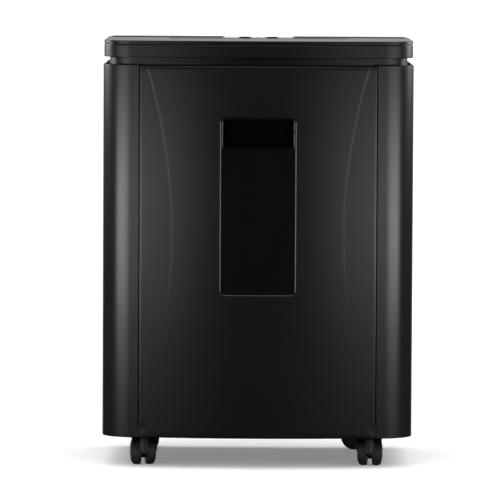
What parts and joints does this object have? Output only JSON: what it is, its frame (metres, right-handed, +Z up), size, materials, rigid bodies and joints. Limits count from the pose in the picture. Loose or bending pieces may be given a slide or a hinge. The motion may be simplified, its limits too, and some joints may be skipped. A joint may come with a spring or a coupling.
{
  "type": "cabinet paper shredder",
  "caption": "Tall black cabinet paper shredder on twin-wheel casters: bowed pull-out waste bin with smoked window and handle recess under a slim cutting head.",
  "frame": {"origin": "on the floor, under the centre of the whole shredder's bounding box", "axes": "+Z up, -Y out of the front towards the user, +X to the user's right"},
  "size_m": [0.4, 0.305, 0.5505],
  "materials": {
    "body_plastic": "satin moulded black plastic",
    "head_plastic": "satin moulded black plastic, a little glossier",
    "inner_plastic": "matt black inner mouldings",
    "gloss_panel": "piano black gloss",
    "button_plastic": "soft satin black",
    "lens": "clear tinted indicator lens",
    "smoked_pane": "dark smoked clear plastic",
    "bin_plastic": "matt charcoal moulding with draw marks",
    "plate_steel": "zinc plated sheet",
    "cutter_steel": "hardened ground steel, lightly oiled",
    "bush_bronze": "sintered bronze",
    "gear_nylon": "greased natural nylon",
    "gear_steel": "sintered steel",
    "motor_steel": "drawn steel can",
    "armature": "laminations and copper windings",
    "fan_nylon": "white nylon",
    "board": "green laminate",
    "screw_steel": "black zinc plated",
    "caster_plastic": "black nylon",
    "wheel_nylon": "black nylon tread with light scuffs",
    "pin_steel": "bright plated steel"
  },
  "bodies": {
    "cabinet": {"left_side_panel": "body_plastic", "right_side_panel": "body_plastic", "rear_panel": "body_plastic", "base_plate": "inner_plastic", "top_frame": "inner_plastic", "bin_rails": "inner_plastic", "caster_sockets": "inner_plastic", "neck_tray": "head_plastic", "head_rim": "head_plastic", "top_cover": "head_plastic", "feed_throat": "inner_plastic", "control_panel": "gloss_panel", "indicator_lenses": "lens", "cutter_plates": "plate_steel", "tie_rods": "pin_steel", "shaft_bushes": "bush_bronze", "stripper_combs": "inner_plastic", "gearbox_cover": "inner_plastic", "idler_pin": "pin_steel", "motor_can": "motor_steel", "motor_mount": "plate_steel", "circuit_board": "board", "cord_gland": "inner_plastic", "switch_housing": "inner_plastic", "interlock_sensor": "inner_plastic", "case_screws": "screw_steel"},
    "bin": {"bin_front": "body_plastic", "handle_pocket": "inner_plastic", "window_pane": "smoked_pane", "waste_bin": "bin_plastic", "interlock_magnet": "gear_steel"},
    "front_cutter_unit": {"front_cutter": "cutter_steel", "front_sync_gear": "gear_steel", "drive_gear": "gear_nylon"},
    "rear_cutter_unit": {"rear_cutter": "cutter_steel", "rear_sync_gear": "gear_steel"},
    "idler": {"idler_gear": "gear_nylon"},
    "rotor": {"motor_armature": "armature", "motor_pinion": "gear_steel", "motor_fan": "fan_nylon"},
    "power_button": {"power_button": "button_plastic"},
    "reverse_button": {"reverse_button": "button_plastic"},
    "rocker": {"power_rocker": "button_plastic"},
    "front_left_swivel": {"front_left_housing": "caster_plastic", "front_left_pins": "pin_steel"},
    "front_left_wheel_1": {"front_left_wheel_1": "wheel_nylon"},
    "front_left_wheel_2": {"front_left_wheel_2": "wheel_nylon"},
    "front_right_swivel": {"front_right_housing": "caster_plastic", "front_right_pins": "pin_steel"},
    "front_right_wheel_1": {"front_right_wheel_1": "wheel_nylon"},
    "front_right_wheel_2": {"front_right_wheel_2": "wheel_nylon"},
    "rear_left_swivel": {"rear_left_housing": "caster_plastic", "rear_left_pins": "pin_steel"},
    "rear_left_wheel_1": {"rear_left_wheel_1": "wheel_nylon"},
    "rear_left_wheel_2": {"rear_left_wheel_2": "wheel_nylon"},
    "rear_right_swivel": {"rear_right_housing": "caster_plastic", "rear_right_pins": "pin_steel"},
    "rear_right_wheel_1": {"rear_right_wheel_1": "wheel_nylon"},
    "rear_right_wheel_2": {"rear_right_wheel_2": "wheel_nylon"}
  },
  "joints": [
    {"name": "bin_slide", "type": "slide", "parent": "cabinet", "child": "bin", "axis": [0, -1, 0], "range_m": [0, 0.25]},
    {"name": "front_cutter_spin", "type": "hinge", "parent": "cabinet", "child": "front_cutter_unit", "pos_m": [0, 0.012, 0.482], "axis": [1, 0, 0], "continuous": true},
    {"name": "rear_cutter_spin", "type": "hinge", "parent": "cabinet", "child": "rear_cutter_unit", "pos_m": [0, 0.048, 0.482], "axis": [1, 0, 0], "continuous": true},
    {"name": "idler_spin", "type": "hinge", "parent": "cabinet", "child": "idler", "pos_m": [-0.141, -0.02675, 0.482], "axis": [1, 0, 0], "continuous": true},
    {"name": "motor_spin", "type": "hinge", "parent": "cabinet", "child": "rotor", "pos_m": [-0.04, -0.06375, 0.482], "axis": [1, 0, 0], "continuous": true},
    {"name": "power_button_press", "type": "slide", "parent": "cabinet", "child": "power_button", "axis": [0, 0, -1], "range_m": [0, 0.0012], "stiffness_N_per_m": 500, "springref_m": -0.001},
    {"name": "reverse_button_press", "type": "slide", "parent": "cabinet", "child": "reverse_button", "axis": [0, 0, -1], "range_m": [0, 0.0012], "stiffness_N_per_m": 500, "springref_m": -0.001},
    {"name": "rocker_tilt", "type": "hinge", "parent": "cabinet", "child": "rocker", "pos_m": [0.12, 0.1425, 0.49], "axis": [-1, 0, 0], "range_deg": [0, 16]},
    {"name": "front_left_swivel_turn", "type": "hinge", "parent": "cabinet", "child": "front_left_swivel", "pos_m": [-0.145, -0.104, 0.039], "axis": [0, 0, 1], "continuous": true},
    {"name": "front_left_wheel_1_spin", "type": "hinge", "parent": "front_left_swivel", "child": "front_left_wheel_1", "pos_m": [-0.14719, -0.09017, 0.0175], "axis": [0.9877, 0.1564, 0], "continuous": true},
    {"name": "front_left_wheel_2_spin", "type": "hinge", "parent": "front_left_swivel", "child": "front_left_wheel_2", "pos_m": [-0.14719, -0.09017, 0.0175], "axis": [0.9877, 0.1564, 0], "continuous": true},
    {"name": "front_right_swivel_turn", "type": "hinge", "parent": "cabinet", "child": "front_right_swivel", "pos_m": [0.145, -0.104, 0.039], "axis": [0, 0, 1], "continuous": true},
    {"name": "front_right_wheel_1_spin", "type": "hinge", "parent": "front_right_swivel", "child": "front_right_wheel_1", "pos_m": [0.14646, -0.09008, 0.0175], "axis": [0.9945, -0.1045, 0], "continuous": true},
    {"name": "front_right_wheel_2_spin", "type": "hinge", "parent": "front_right_swivel", "child": "front_right_wheel_2", "pos_m": [0.14646, -0.09008, 0.0175], "axis": [0.9945, -0.1045, 0], "continuous": true},
    {"name": "rear_left_swivel_turn", "type": "hinge", "parent": "cabinet", "child": "rear_left_swivel", "pos_m": [-0.145, 0.118, 0.039], "axis": [0, 0, 1], "continuous": true},
    {"name": "rear_left_wheel_1_spin", "type": "hinge", "parent": "rear_left_swivel", "child": "rear_left_wheel_1", "pos_m": [-0.14646, 0.13192, 0.0175], "axis": [0.9945, 0.1045, 0], "continuous": true},
    {"name": "rear_left_wheel_2_spin", "type": "hinge", "parent": "rear_left_swivel", "child": "rear_left_wheel_2", "pos_m": [-0.14646, 0.13192, 0.0175], "axis": [0.9945, 0.1045, 0], "continuous": true},
    {"name": "rear_right_swivel_turn", "type": "hinge", "parent": "cabinet", "child": "rear_right_swivel", "pos_m": [0.145, 0.118, 0.039], "axis": [0, 0, 1], "continuous": true},
    {"name": "rear_right_wheel_1_spin", "type": "hinge", "parent": "rear_right_swivel", "child": "rear_right_wheel_1", "pos_m": [0.13108, 0.11946, 0.0175], "axis": [0.1045, 0.9945, 0], "continuous": true},
    {"name": "rear_right_wheel_2_spin", "type": "hinge", "parent": "rear_right_swivel", "child": "rear_right_wheel_2", "pos_m": [0.13108, 0.11946, 0.0175], "axis": [0.1045, 0.9945, 0], "continuous": true}
  ],
  "couplings": [
    {"joint": "rear_cutter_spin", "follows": "front_cutter_spin", "ratio": -1},
    {"joint": "idler_spin", "follows": "front_cutter_spin", "ratio": -3.4286},
    {"joint": "motor_spin", "follows": "front_cutter_spin", "ratio": 14.694}
  ]
}
